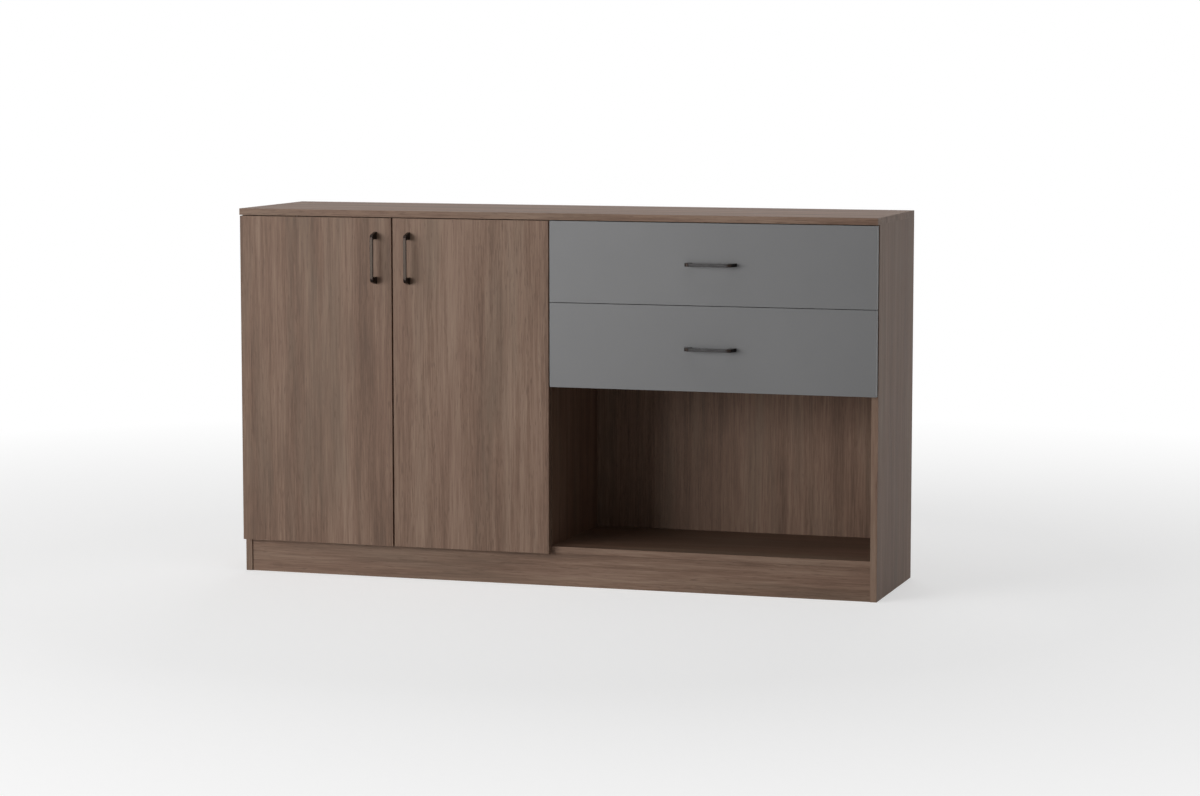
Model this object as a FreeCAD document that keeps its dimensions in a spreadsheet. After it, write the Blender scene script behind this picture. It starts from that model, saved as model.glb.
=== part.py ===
import FreeCAD, Part
import os
import re
import Sketcher

# A board-built office credenza: two doors on the left, two drawers over an open bay on the right.
# X runs along the width, Y from front to back, Z up. The origin is on the floor, under the middle
# of the whole object, handles included.

driving_sizes = [
    # carcass
    ("overall_width", 1600, "across the outer faces of the sides"),
    ("overall_height", 900, "floor to the top surface"),
    ("carcass_depth", 381, "front edges of the sides to the rear"),
    ("board", 16, "thickness of every carcass board, door and drawer front"),
    ("band", 1, "thickness of an edge band"),
    ("plinth_height", 80, "floor to the underside of the bottom board"),
    ("plinth_setback", 3, "front edges of the sides to the face of the plinth"),
    ("bay_width", 784, "clear width of the open bay"),
    # doors and drawer fronts
    ("front_gap", 3, "front edges of the carcass to the rear of the fronts"),
    ("reveal", 1.5, "edge of a front to the outer face of the board it covers"),
    ("door_meeting_gap", 4, "between the two doors"),
    ("top_gap", 2, "between the top board and the fronts"),
    ("door_rise", 0.5, "top of the plinth to the lower edge of the doors"),
    ("upper_front_height", 194, "upper drawer front"),
    ("lower_front_height", 202, "lower drawer front"),
    ("drawer_front_gap", 1.5, "between the two drawer fronts"),
    ("deck_lift", 2, "lower edge of the lower front to the underside of the deck"),
    # shelf behind the doors
    ("shelf_height", 490, "floor to the underside of the shelf"),
    ("shelf_setback", 20, "front edges of the carcass to the shelf"),
    ("shelf_play", 1, "shelf to the boards round it"),
    ("peg_radius", 2.5, "shelf peg"),
    ("peg_depth", 10, "how far a peg sits in its board"),
    ("peg_reach", 8, "how far a peg stands out under the shelf"),
    ("peg_pitch", 32, "between the peg holes of a row"),
    ("peg_row_inset", 37, "peg rows to the front edge and to the back board"),
    ("spare_holes", 2, "peg holes above and below the one in use"),
    # carcass fittings
    ("fit_clearance", 0.05, "a fitting to the wall of its hole"),
    ("fitting_inset", 60, "cam fittings to the front edge and to the back board"),
    ("cam_radius", 7.5, "cam housing"),
    ("cam_depth", 12.5, "cam housing into the board's face"),
    ("cam_reach", 24, "joint plane to the middle of the cam housing"),
    ("bolt_radius", 3.4, "cam bolt"),
    ("bolt_grip", 11, "cam bolt into the board that it holds"),
    ("dowel_radius", 4, "dowel"),
    ("dowel_grip", 10, "dowel into the face of a board"),
    ("dowel_reach", 20, "dowel into the end of a board"),
    ("screw_radius", 1.9, "back board screw"),
    ("screw_grip", 24, "back board screw beyond the back board"),
    ("screw_head_radius", 3.8, "back board screw, countersunk head"),
    ("screw_head_depth", 2, "back board screw, height of the head"),
    ("screw_margin", 60, "end screws of a row to the corners"),
    # cup hinges
    ("hinge_inset", 100, "middle of a hinge to the end of its door"),
    ("cup_radius", 17.5, "hinge cup"),
    ("cup_edge", 3, "edge of the door to the cup"),
    ("cup_depth", 12.5, "hinge cup into the door"),
    ("cup_wall", 1, "wall and floor of the cup"),
    ("flange_thickness", 1, "flange of the cup on the door"),
    ("flange_reach", 26, "middle of the cup to an end of its flange"),
    ("flange_width", 15, "flange across"),
    ("flange_overlap", 3.75, "middle of the cup to the near edge of its flange"),
    ("cup_screw_reach", 21.5, "middle of the cup to a cup screw"),
    ("cup_screw_radius", 1.75, "cup screw"),
    ("cup_screw_length", 11, "cup screw under its head"),
    ("cup_screw_head", 3.4, "radius of a cup screw's head"),
    ("cup_screw_head_height", 1.2, "height of a cup screw's head"),
    ("pin_inset", 7.5, "edge of the door to the hinge pin"),
    ("pin_depth", 9, "rear face of the door to the hinge pin"),
    ("pin_radius", 1.25, "hinge pin"),
    ("eye_radius", 2.3, "eye of the hinge arm round the pin"),
    ("ear_thickness", 3.5, "each ear of the cup that holds the pin"),
    ("hinge_play", 0.3, "eye of the arm to each ear"),
    ("arm_height", 10, "hinge arm, along the pin"),
    ("arm_thickness", 8, "hinge arm behind the front edge"),
    ("arm_length", 54, "hinge arm behind its neck"),
    ("neck_start", 6, "front edge of the carcass to the body of the arm"),
    ("neck_offset", 5, "face of the board to the neck of the arm"),
    ("neck_thickness", 3, "neck of the arm"),
    ("plate_thickness", 3, "mounting plate"),
    ("plate_length", 50, "mounting plate, front to back"),
    ("plate_start", 8, "front edge of the carcass to the plate"),
    ("plate_height", 18, "mounting plate under the arm"),
    ("wing_length", 18, "wings of the plate, front to back"),
    ("wing_height", 52, "mounting plate across its wings"),
    ("plate_screw_line", 37, "front edge of the carcass to the plate screws"),
    ("plate_screw_reach", 16, "middle of the hinge to a plate screw"),
    ("plate_screw_radius", 2, "plate screw"),
    ("plate_screw_length", 13, "plate screw under its head"),
    ("plate_screw_head", 3.6, "radius of a plate screw's head"),
    ("plate_screw_head_height", 2, "height of a plate screw's head"),
    ("clamp_screw_line", 46, "front edge of the carcass to the clamp screw"),
    ("clamp_screw_radius", 2.2, "clamp screw"),
    ("clamp_screw_head", 3.8, "radius of the clamp screw's head"),
    ("clamp_screw_head_height", 1.6, "height of the clamp screw's head"),
    ("bumper_radius", 4, "door bumper"),
    ("bumper_play", 0.3, "door bumper to the edge it meets"),
    ("bumper_inset", 20, "meeting edge of the door to its first bumper"),
    ("bumper_pitch", 200, "first bumper to the second"),
    # handles
    ("handle_length", 127, "handle over its feet"),
    ("handle_reach", 28, "face of the front to the outside of the handle"),
    ("handle_width", 8, "handle across"),
    ("handle_thickness", 4.5, "grip of the handle"),
    ("handle_foot", 18, "leg of the handle along the handle"),
    ("handle_sweep", 7, "end of the handle to the corner where its leg meets the grip"),
    ("handle_outer_round", 9, "outer bend of the handle"),
    ("handle_inner_round", 3, "inner bend of the handle"),
    ("handle_edge_round", 1, "long edges of the handle"),
    ("door_handle_inset", 41, "meeting edge of the door to its handle"),
    ("door_handle_drop", 97, "upper edge of the door to the middle of its handle"),
    ("handle_screw_radius", 2, "handle screw"),
    ("handle_screw_inset", 9.5, "end of the handle to the middle of its screw"),
    ("handle_screw_bite", 9, "handle screw into the foot"),
    ("handle_screw_head", 4, "radius of a handle screw's head"),
    ("handle_screw_head_height", 2, "height of a handle screw's head"),
    # drawer boxes and slides
    ("box_wall", 12, "sides, inner front and back of a drawer"),
    ("box_height", 140, "sides of a drawer"),
    ("box_depth", 340, "drawer behind its front"),
    ("box_lift", 28, "lower edge of a front to the lower edge of its box"),
    ("base_thickness", 5, "bottom of a drawer"),
    ("base_lift", 10, "lower edge of the box to its bottom"),
    ("base_groove", 6, "bottom of a drawer into each wall"),
    ("rail_space", 13, "inner face of the carcass to the side of a drawer"),
    ("rail_height", 45, "slide over all"),
    ("rail_sheet", 1.2, "sheet of the rails"),
    ("rail_play", 0.3, "between the flanges of two rails"),
    ("cabinet_rail_depth", 9.5, "flanges of the cabinet rail"),
    ("drawer_rail_depth", 5.4, "flanges of the drawer rail"),
    ("middle_rail_start", 2, "inner face of the carcass to the middle rail"),
    ("middle_rail_depth", 9, "flanges of the middle rail"),
    ("rail_length", 300, "each rail"),
    ("rail_setback", 2, "front edges of the carcass to the rails"),
    ("rail_rise", 55, "lower edge of the box to the middle of its slide"),
]

doc = FreeCAD.newDocument("credenza")
sheet = doc.addObject("Spreadsheet::Sheet", "Sizes")
for row, (word, value, meaning) in enumerate(driving_sizes, start=1):
    sheet.set(f"A{row}", meaning)
    sheet.set(f"B{row}", str(value))
    sheet.setAlias(f"B{row}", word)
doc.recompute()

size_words = re.compile(r"\b(" + "|".join(word for word, _, _ in driving_sizes) + r")\b")


def in_sheet(text):
    """An expression in plain size words, as the document's own expression."""
    return size_words.sub(r"Sizes.\1", str(text))


def measure(text):
    """The number that an expression gives now."""
    return float(sheet.evalExpression(in_sheet(text)))


def bind(thing, prop, text):
    thing.setExpression(prop, in_sheet(text))


def put(thing, point):
    for axis, text in zip("xyz", point):
        bind(thing, f"Placement.Base.{axis}", text)
    return thing


def along(point, way, amount):
    """A point moved by an amount along a unit direction."""
    return tuple(f"({at}) + {step} * ({amount})" if step else at for at, step in zip(point, way))


def plane_at(origin, turn, distance):
    """A plane at a distance from another one, measured along the axis (1) or against it (-1)."""
    return f"({origin}) + {turn} * ({distance})"


def span(origin, turn, near, far):
    """The low and the high one of two planes at two distances from another plane."""
    planes = [plane_at(origin, turn, distance) for distance in (near, far)]
    return tuple(planes if turn > 0 else reversed(planes))


# ---- solids ----


def block(name, x, y, z):
    """A box between two x, two y and two z planes."""
    box = doc.addObject("Part::Box", name)
    for prop, (low, high) in (("Length", x), ("Width", y), ("Height", z)):
        bind(box, prop, f"({high}) - ({low})")
    return put(box, (x[0], y[0], z[0]))


def turned_to(way):
    turn = FreeCAD.Rotation(FreeCAD.Vector(0, 0, 1), FreeCAD.Vector(*way))
    return FreeCAD.Placement(FreeCAD.Vector(), turn)


def rod(name, start, way, radius, length):
    cylinder = doc.addObject("Part::Cylinder", name)
    cylinder.Placement = turned_to(way)
    bind(cylinder, "Radius", radius)
    bind(cylinder, "Height", length)
    return put(cylinder, start)


def taper(name, start, way, first_radius, last_radius, length):
    cone = doc.addObject("Part::Cone", name)
    cone.Placement = turned_to(way)
    bind(cone, "Radius1", first_radius)
    bind(cone, "Radius2", last_radius)
    bind(cone, "Height", length)
    return put(cone, start)


def group(name, things):
    compound = doc.addObject("Part::Compound", name)
    compound.Links = things
    return compound


def fuse(name, things):
    whole = doc.addObject("Part::MultiFuse", name)
    whole.Shapes = things
    return whole


def cut(name, base, tools):
    rest = doc.addObject("Part::Cut", name)
    rest.Base = base
    rest.Tool = tools[0] if len(tools) == 1 else group(name + "_tools", tools)
    return rest


def prism(name, plane, corners, length):
    """A body padded evenly to both sides of a sketched outline with straight edges."""
    body = doc.addObject("PartDesign::Body", name)
    sketch = body.newObject("Sketcher::SketchObject", name + "_outline")
    origin_plane = [feature for feature in body.Origin.OriginFeatures if feature.Role == plane][0]
    sketch.AttachmentSupport = [(origin_plane, "")]
    sketch.MapMode = "FlatFace"
    points = [FreeCAD.Vector(measure(x), measure(y), 0) for x, y in corners]
    count = len(corners)
    for index in range(count):
        sketch.addGeometry(Part.LineSegment(points[index], points[(index + 1) % count]))
    for index in range(count):
        sketch.addConstraint(Sketcher.Constraint("Coincident", index, 2, (index + 1) % count, 1))
    for index, corner in enumerate(corners):
        for kind, text in zip(("DistanceX", "DistanceY"), corner):
            number = sketch.addConstraint(Sketcher.Constraint(kind, -1, 1, index, 1, measure(text)))
            bind(sketch, f"Constraints[{number}]", text)
    pad = body.newObject("PartDesign::Pad", name + "_pad")
    pad.Profile = sketch
    pad.SideType = "Symmetric"
    bind(pad, "Length", length)
    doc.recompute()
    return body


def screw(name, start, way, radius, length, head_radius, head_height):
    """A pan-head screw that points along the way, with its head's underside at the start."""
    head = rod(name + "_head", along(start, way, f"-({head_height})"), way, head_radius, head_height)
    return fuse(name, [head, rod(name + "_shank", start, way, radius, length)])


# ---- planes that the pieces share ----

left_face = "(-overall_width / 2)"
right_face = "(overall_width / 2)"
left_inner = f"({left_face} + board)"
right_inner = f"({right_face} - board)"
divider_right = f"({right_inner} - bay_width)"
divider_left = f"({divider_right} - board)"
rear = "((carcass_depth + front_gap + board + handle_reach) / 2)"
back_face = f"({rear} - board)"
edge = f"({rear} - carcass_depth)"
behind_band = f"({edge} + band)"
front_back = f"({edge} - front_gap)"
front_face = f"({front_back} - board)"
floor_top = "(plinth_height + board)"
top_under = "(overall_height - board)"
fronts_top = f"({top_under} - top_gap)"
upper_front_low = f"({fronts_top} - upper_front_height)"
lower_front_high = f"({upper_front_low} - drawer_front_gap)"
lower_front_low = f"({lower_front_high} - lower_front_height)"
deck_under = f"({lower_front_low} + deck_lift)"
deck_top = f"({deck_under} + board)"

nodes = []
blanks = {}
tools_for = {}


def keep(piece):
    nodes.append(piece)


def board(label, x, y, z):
    """A board, whose holes are cut once every fitting has asked for its own."""
    blanks[label] = block(label + "_blank", x, y, z)
    tools_for[label] = []


def finish_board(label):
    tools = tools_for[label]
    if tools:
        keep(cut(label, blanks[label], tools))
    else:
        blanks[label].Label = label
        keep(blanks[label])


# ---- carcass boards ----

carcass_width = (left_inner, right_inner)
inside_depth = (behind_band, back_face)
board("top_panel", (f"{left_face} + band", f"{right_face} - band"), (f"{front_face} + band", rear),
      (top_under, "overall_height"))
board("left_side_panel", (left_face, left_inner), (behind_band, rear), ("0", top_under))
board("right_side_panel", (right_inner, right_face), (behind_band, rear), ("0", top_under))
board("centre_divider", (divider_left, divider_right), inside_depth, (floor_top, top_under))
board("bottom_panel", carcass_width, inside_depth, ("plinth_height", floor_top))
board("back_panel", carcass_width, (back_face, rear), ("plinth_height", top_under))
board("front_plinth", carcass_width, (f"{edge} + plinth_setback", f"{edge} + plinth_setback + board"),
      ("0", "plinth_height"))
board("rear_plinth_rail", carcass_width, (f"{back_face} - board", back_face), ("0", "plinth_height"))
board("drawer_deck", (divider_right, right_inner), inside_depth, (deck_under, deck_top))
board("cabinet_shelf", (f"{left_inner} + shelf_play", f"{divider_left} - shelf_play"),
      (f"{edge} + shelf_setback", f"{back_face} - shelf_play"), ("shelf_height", "shelf_height + board"))

keep(group("top_edge_bands", [
    block("top_front_band", (left_face, right_face), (front_face, f"{front_face} + band"),
          (top_under, "overall_height")),
    block("top_left_band", (left_face, f"{left_face} + band"), (f"{front_face} + band", rear),
          (top_under, "overall_height")),
    block("top_right_band", (f"{right_face} - band", right_face), (f"{front_face} + band", rear),
          (top_under, "overall_height")),
]))

banded_edges = {
    "left_side": ((left_face, left_inner), ("0", top_under)),
    "right_side": ((right_inner, right_face), ("0", top_under)),
    "divider": ((divider_left, divider_right), (floor_top, top_under)),
    "bottom": (carcass_width, ("plinth_height", floor_top)),
    "deck": ((divider_right, right_inner), (deck_under, deck_top)),
}
keep(group("carcass_edge_bands", [
    block(name + "_band", x, (edge, behind_band), z) for name, (x, z) in banded_edges.items()
]))

# ---- cam bolts, cam housings and dowels ----

housings = []
bolts = []
dowels = []


def add_cam(host, mate, point, into_host, drill):
    """A bolt in the mate's face that runs into the end of the host, and its housing in the host's face."""
    name = f"cam_{len(bolts) + 1}"
    start = along(point, into_host, "-bolt_grip")
    length = "bolt_grip + cam_reach"
    bolts.append(rod(name + "_bolt", start, into_host, "bolt_radius", length))
    bore = rod(name + "_bore", start, into_host, "bolt_radius + fit_clearance", length)
    middle = along(point, into_host, "cam_reach")
    mouth = along(middle, drill, "-board / 2")
    seat = rod(name + "_seat", mouth, drill, "cam_radius + fit_clearance", "cam_depth")
    drum = rod(name + "_drum", mouth, drill, "cam_radius", "cam_depth")
    housings.append(cut(name + "_housing", drum, [bore]))
    tools_for[host] += [bore, seat]
    tools_for[mate].append(bore)


def add_dowel(host, mate, point, into_host):
    name = f"dowel_{len(dowels) + 1}"
    start = along(point, into_host, "-dowel_grip")
    length = "dowel_grip + dowel_reach"
    dowels.append(rod(name, start, into_host, "dowel_radius", length))
    bore = rod(name + "_bore", start, into_host, "dowel_radius + fit_clearance", length)
    tools_for[host].append(bore)
    tools_for[mate].append(bore)


right, left = (1, 0, 0), (-1, 0, 0)
back, forward = (0, 1, 0), (0, -1, 0)
up, down = (0, 0, 1), (0, 0, -1)
cam_rows = (f"{edge} + fitting_inset", f"{back_face} - fitting_inset")
middle_row = f"({edge} + {back_face}) / 2"
half_board = "board / 2"
uprights = {
    "left_side_panel": (f"{left_face} + {half_board}", left),
    "right_side_panel": (f"{right_inner} + {half_board}", right),
    "centre_divider": (f"{divider_left} + {half_board}", right),
}
shelves = {
    "bottom_panel": (("left_side_panel", left_inner, right), ("right_side_panel", right_inner, left),
                     f"plinth_height + {half_board}"),
    "drawer_deck": (("centre_divider", divider_right, right), ("right_side_panel", right_inner, left),
                    f"{deck_under} + {half_board}"),
}

for upright, (x, drill) in uprights.items():
    for y in cam_rows:
        add_cam(upright, "top_panel", (x, y, top_under), down, drill)
    add_dowel(upright, "top_panel", (x, middle_row, top_under), down)
divider_x = uprights["centre_divider"][0]
for y in cam_rows:
    add_cam("centre_divider", "bottom_panel", (divider_x, y, floor_top), up, right)
add_dowel("centre_divider", "bottom_panel", (divider_x, middle_row, floor_top), up)
for shelf, (*ends, z) in shelves.items():
    for mate, x, into_shelf in ends:
        for y in cam_rows:
            add_cam(shelf, mate, (x, y, z), into_shelf, up)
        add_dowel(shelf, mate, (x, middle_row, z), into_shelf)
for plinth, y, drill in (("front_plinth", f"{edge} + plinth_setback + {half_board}", forward),
                         ("rear_plinth_rail", f"{back_face} - {half_board}", back)):
    for mate, x, into_plinth in shelves["bottom_panel"][:2]:
        add_cam(plinth, mate, (x, y, "plinth_height / 2"), into_plinth, drill)
back_dowels = 3
for mate, x, into_back in shelves["bottom_panel"][:2]:
    for number in range(1, back_dowels + 1):
        z = f"plinth_height + ({top_under} - plinth_height) * {number} / {back_dowels + 1}"
        add_dowel("back_panel", mate, (x, f"{rear} - {half_board}", z), into_back)

keep(group("cam_housings", housings))
keep(group("cam_bolts", bolts))
keep(group("dowels", dowels))

# ---- back board screws ----

back_screws = []


def add_back_screw(mate, x, z):
    """A countersunk screw, flush with the rear, through the back board into the edge of another board."""
    name = f"back_screw_{len(back_screws) + 1}"
    start = (x, rear, z)
    length = "board + screw_grip"
    pieces = [(name, "0"), (name + "_bore", "fit_clearance")]
    made = [
        fuse(label, [
            rod(label + "_shank", start, forward, f"screw_radius + {room}", length),
            taper(label + "_head", start, forward, f"screw_head_radius + {room}", f"screw_radius + {room}",
                  "screw_head_depth"),
        ])
        for label, room in pieces
    ]
    back_screws.append(made[0])
    tools_for["back_panel"].append(made[1])
    tools_for[mate].append(made[1])


def spread(low, high, count):
    """Evenly spread places between two planes, a margin in from each."""
    gap = f"({high}) - ({low}) - 2 * screw_margin"
    return [f"({low}) + screw_margin + ({gap}) * {index} / {count - 1}" for index in range(count)]


for x in spread(left_inner, right_inner, 6):
    add_back_screw("bottom_panel", x, f"plinth_height + {half_board}")
for x in spread(divider_right, right_inner, 3):
    add_back_screw("drawer_deck", x, f"{deck_under} + {half_board}")
for z in spread(floor_top, top_under, 4):
    add_back_screw("centre_divider", divider_x, z)
keep(group("back_panel_screws", back_screws))

# ---- shelf pegs and their rows of holes ----

pegs = []
peg_height = "shelf_height - peg_radius"
peg_rows = (f"{edge} + peg_row_inset", f"{back_face} - peg_row_inset")
for panel, face, out in (("left_side_panel", left_inner, right), ("centre_divider", divider_left, left)):
    for y in peg_rows:
        name = f"peg_{len(pegs) + 1}"
        start = along((face, y, peg_height), out, "-peg_depth")
        pegs.append(rod(name, start, out, "peg_radius", "peg_depth + peg_reach"))
        spare = int(measure("spare_holes"))
        for step in range(-spare, spare + 1):
            hole_start = (start[0], y, f"{peg_height} + {step} * peg_pitch")
            hole = rod(f"{name}_hole_{step + spare}", hole_start, out, "peg_radius + fit_clearance",
                       "peg_depth")
            tools_for[panel].append(hole)
keep(group("shelf_pins", pegs))


# ---- handles ----


def vertical_edges_at(shape, corners):
    """Names of the edges along Z that stand on the given corners."""
    wanted = [(measure(x), measure(y)) for x, y in corners]
    names = []
    for number, one_edge in enumerate(shape.Edges, start=1):
        low, high = one_edge.BoundBox.ZMin, one_edge.BoundBox.ZMax
        middle = one_edge.BoundBox.Center
        near = [abs(middle.x - x) + abs(middle.y - y) < 0.01 for x, y in wanted]
        if high - low > 0.5 * shape.BoundBox.ZLength and any(near):
            names.append(f"Edge{number}")
    return names


def round_edges(body, names, radius):
    base = body.Tip
    fillet = body.newObject("PartDesign::Fillet", f"{body.Name}_round_{len(body.Group)}")
    fillet.Base = (base, names)
    bind(fillet, "Radius", radius)
    doc.recompute()


def make_handle(label, name, middle, upright, screw_seat):
    """A bow handle, its two screws, and the holes that they need in the boards of the front.

    The outline is drawn lying down: the grip along X and the reach along -Y.
    """
    end = "handle_length / 2"
    outer_corners = [(f"{side} * ({end} - handle_sweep)", "-handle_reach") for side in (-1, 1)]
    inner_corners = [
        (f"{side} * ({end} - handle_foot)", "-(handle_reach - handle_thickness)") for side in (-1, 1)
    ]
    feet = [(f"{side} * ({end} - {inset})", "0") for side in (-1, 1) for inset in ("0", "handle_foot")]
    outline = [feet[0], outer_corners[0], outer_corners[1], feet[2], feet[3], inner_corners[1],
               inner_corners[0], feet[1]]
    body = prism(name + "_bow", "XY_Plane", outline, "handle_width")
    round_edges(body, vertical_edges_at(body.Shape, outer_corners), "handle_outer_round")
    round_edges(body, vertical_edges_at(body.Shape, inner_corners), "handle_inner_round")
    half_width = measure("handle_width / 2")
    rims = [
        f"Edge{number}" for number, one_edge in enumerate(body.Shape.Edges, start=1)
        if one_edge.BoundBox.ZLength < 0.01 and abs(abs(one_edge.BoundBox.ZMin) - half_width) < 0.01
        and one_edge.BoundBox.YMin < -0.01
    ]
    round_edges(body, rims, "handle_edge_round")
    if upright:
        quarter_turn = FreeCAD.Rotation(FreeCAD.Vector(0, 1, 0), 90)
        body.Placement = FreeCAD.Placement(FreeCAD.Vector(), quarter_turn)
    put(body, middle)
    screws = []
    bores = []
    x, y, z = middle
    for side in (-1, 1):
        shift = f"{side} * ({end} - handle_screw_inset)"
        place = (x, screw_seat, f"{z} + {shift}") if upright else (f"{x} + {shift}", screw_seat, z)
        length = f"{screw_seat} - {front_face} + handle_screw_bite"
        screw_name = f"{name}_screw_{side + 2}"
        screws.append(screw(screw_name, place, forward, "handle_screw_radius", length,
                            "handle_screw_head", "handle_screw_head_height"))
        bores.append(rod(screw_name + "_bore", place, forward, "handle_screw_radius + fit_clearance",
                         length))
    keep(cut(label, body, bores))
    keep(group(name + "_handle_screws", screws))
    return bores


# ---- doors and their hinges ----

plates = []
arms = []
plate_screws = []
clamp_screws = []
door_low = "(plinth_height + door_rise)"
door_width = f"(({divider_right} - {left_face}) / 2 - door_meeting_gap / 2 - reveal)"
pin_from_face = "(reveal + pin_inset)"
pin_line = f"({front_back} - pin_depth)"
cup_from_face = "(reveal + cup_edge + cup_radius)"
arm_from_face = "(board + plate_thickness)"
arm_far = f"({arm_from_face} + arm_thickness)"
neck_from_face = "(board + neck_offset)"
neck_far = f"({neck_from_face} + neck_thickness)"
pin_half = "(arm_height / 2 + hinge_play + ear_thickness)"


def add_plate(name, face, turn, middle_z, panel):
    """A mounting plate with its wings and screws, and the bore for the clamp screw of its arm."""
    outward = (-turn, 0, 0)
    middle_y = f"{edge} + plate_screw_line"
    plate_x = span(face, turn, "board", arm_from_face)
    blank = fuse(name + "_plate_blank", [
        block(name + "_plate_spine", plate_x,
              (f"{edge} + plate_start", f"{edge} + plate_start + plate_length"),
              (f"{middle_z} - plate_height / 2", f"{middle_z} + plate_height / 2")),
        block(name + "_plate_wings", plate_x,
              (f"{middle_y} - wing_length / 2", f"{middle_y} + wing_length / 2"),
              (f"{middle_z} - wing_height / 2", f"{middle_z} + wing_height / 2")),
    ])
    bores = []
    for side in (-1, 1):
        screw_z = f"{middle_z} + {side} * plate_screw_reach"
        seat = (plane_at(face, turn, arm_from_face), middle_y, screw_z)
        screw_name = f"{name}_plate_screw_{side + 2}"
        plate_screws.append(screw(screw_name, seat, outward, "plate_screw_radius", "plate_screw_length",
                                  "plate_screw_head", "plate_screw_head_height"))
        bore = rod(screw_name + "_bore", seat, outward, "plate_screw_radius + fit_clearance",
                   "plate_screw_length")
        bores.append(bore)
        tools_for[panel].append(bore)

    clamp_seat = (plane_at(face, turn, arm_far), f"{edge} + clamp_screw_line", middle_z)
    clamp_length = "arm_thickness + plate_thickness"
    clamp_screws.append(screw(name + "_clamp_screw", clamp_seat, outward, "clamp_screw_radius",
                              clamp_length, "clamp_screw_head", "clamp_screw_head_height"))
    clamp_bore = rod(name + "_clamp_bore", clamp_seat, outward, "clamp_screw_radius + fit_clearance",
                     clamp_length)
    plates.append(cut(name + "_plate", blank, bores + [clamp_bore]))
    return clamp_bore


def add_arm(name, face, turn, middle_z, clamp_bore):
    """An arm on its plate, with a hooked neck that ends in an eye round the pin, and the pin."""
    pin_y = "-(front_gap + pin_depth)"
    half_neck = "neck_thickness / 2"
    arm_end = "neck_start + arm_length"
    outline = [
        (pin_from_face, f"{pin_y} - {half_neck}"),
        (neck_far, f"{pin_y} - {half_neck}"),
        (neck_far, "neck_start"),
        (arm_far, "neck_start"),
        (arm_far, arm_end),
        (arm_from_face, arm_end),
        (arm_from_face, "neck_start"),
        (neck_from_face, "neck_start"),
        (neck_from_face, f"{pin_y} + {half_neck}"),
        (pin_from_face, f"{pin_y} + {half_neck}"),
    ]
    hook = prism(name + "_hook", "XY_Plane", [(f"{turn} * ({x})", y) for x, y in outline], "arm_height")
    put(hook, (face, edge, middle_z))
    pin_x = plane_at(face, turn, pin_from_face)
    eye = rod(name + "_eye", (pin_x, pin_line, f"{middle_z} - arm_height / 2"), up, "eye_radius",
              "arm_height")
    pin_start = (pin_x, pin_line, f"{middle_z} - {pin_half}")
    pin = rod(name + "_pin", pin_start, up, "pin_radius", f"2 * {pin_half}")
    pin_bore = rod(name + "_pin_bore", pin_start, up, "pin_radius + fit_clearance", f"2 * {pin_half}")
    arms.append(cut(name + "_arm", fuse(name + "_arm_blank", [hook, eye]), [pin_bore, clamp_bore]))
    return pin, pin_bore


def add_cup(name, face, turn, middle_z, pin_bore, door_board):
    """A cup with its flange and the two ears that hold the pin, and the screws of the flange."""
    rim = (plane_at(face, turn, cup_from_face), f"{front_back} + flange_thickness", middle_z)
    mouth = (rim[0], front_back, middle_z)
    hollow = rod(name + "_hollow", rim, forward, "cup_radius - cup_wall",
                 "flange_thickness + cup_depth - cup_wall")
    ear_x = span(face, turn, "reveal + cup_edge", f"{pin_from_face} + eye_radius")
    ear_y = (f"{front_back} - cup_depth", f"{pin_line} + eye_radius")
    ears = [
        block(f"{name}_ear_{side + 2}", ear_x, ear_y,
              span(middle_z, side, "arm_height / 2 + hinge_play", "cup_radius"))
        for side in (-1, 1)
    ]
    flange_near = f"{cup_from_face} - flange_overlap"
    blank = fuse(name + "_cup_blank", [
        rod(name + "_cup_wall", mouth, forward, "cup_radius", "cup_depth"),
        block(name + "_flange", span(face, turn, flange_near, f"{flange_near} + flange_width"),
              (front_back, rim[1]), (f"{middle_z} - flange_reach", f"{middle_z} + flange_reach")),
    ])
    screws = []
    bores = []
    for side in (-1, 1):
        seat = (plane_at(face, turn, f"{flange_near} + flange_width / 2"), rim[1],
                f"{middle_z} + {side} * cup_screw_reach")
        screw_name = f"{name}_cup_screw_{side + 2}"
        screws.append(screw(screw_name, seat, forward, "cup_screw_radius", "cup_screw_length",
                            "cup_screw_head", "cup_screw_head_height"))
        bores.append(rod(screw_name + "_bore", seat, forward, "cup_screw_radius + fit_clearance",
                         "cup_screw_length"))
    inside = cut(name + "_inside", hollow, ears)
    pocket = rod(name + "_pocket", mouth, forward, "cup_radius + fit_clearance",
                 "cup_depth + fit_clearance")
    tools_for[door_board] += [pocket] + bores
    return cut(name + "_cup", blank, [inside, pin_bore] + bores), screws


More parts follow.
